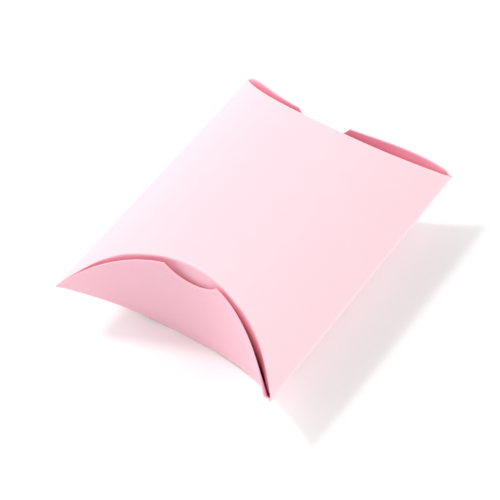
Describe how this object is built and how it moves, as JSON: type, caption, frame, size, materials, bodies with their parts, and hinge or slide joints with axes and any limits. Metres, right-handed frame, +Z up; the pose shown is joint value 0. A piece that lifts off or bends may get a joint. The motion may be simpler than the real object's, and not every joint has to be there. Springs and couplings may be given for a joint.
{
  "type": "pillow favour box",
  "caption": "Pillow-shaped card favour box: bowed top and bottom panels with creased sides, a glued side seam, and curved tuck flaps closing each end, the outer ones with thumb notches.",
  "frame": {"origin": "on the floor under the middle of the belly, at the centre of the flattened strip the box rests on", "axes": "+Y along the box from the front end to the rear end, +X across it to the side with the glued seam, +Z up"},
  "size_m": [0.0665, 0.09, 0.0285],
  "materials": {
    "pink_card": "matte, dyed through",
    "seam_glue": "dried adhesive"
  },
  "bodies": {
    "box": {"top_panel": "pink_card", "bottom_panel": "pink_card", "left_fold": "pink_card", "right_fold": "pink_card", "seam_flap": "pink_card", "glue_film": "seam_glue", "front_top_score": "pink_card", "front_bottom_score": "pink_card", "rear_top_score": "pink_card", "rear_bottom_score": "pink_card"},
    "front_outer": {"front_outer_flap": "pink_card"},
    "front_inner": {"front_inner_flap": "pink_card"},
    "rear_outer": {"rear_outer_flap": "pink_card"},
    "rear_inner": {"rear_inner_flap": "pink_card"}
  },
  "joints": [
    {"name": "front_outer_crease", "type": "hinge", "parent": "box", "child": "front_outer", "pos_m": [0, -0.0309, 0], "axis": [1, 0, 0], "range_deg": [0, 80]},
    {"name": "front_inner_crease", "type": "hinge", "parent": "box", "child": "front_inner", "pos_m": [0, -0.0308, 0.0285], "axis": [-1, 0, 0], "range_deg": [0, 72]},
    {"name": "rear_outer_crease", "type": "hinge", "parent": "box", "child": "rear_outer", "pos_m": [0, 0.0309, 0], "axis": [-1, 0, 0], "range_deg": [0, 80]},
    {"name": "rear_inner_crease", "type": "hinge", "parent": "box", "child": "rear_inner", "pos_m": [0, 0.0308, 0.0285], "axis": [1, 0, 0], "range_deg": [0, 72]}
  ],
  "couplings": [
    {"joint": "front_inner_crease", "follows": "front_outer_crease", "ratio": 0.9},
    {"joint": "rear_inner_crease", "follows": "rear_outer_crease", "ratio": 0.9}
  ]
}
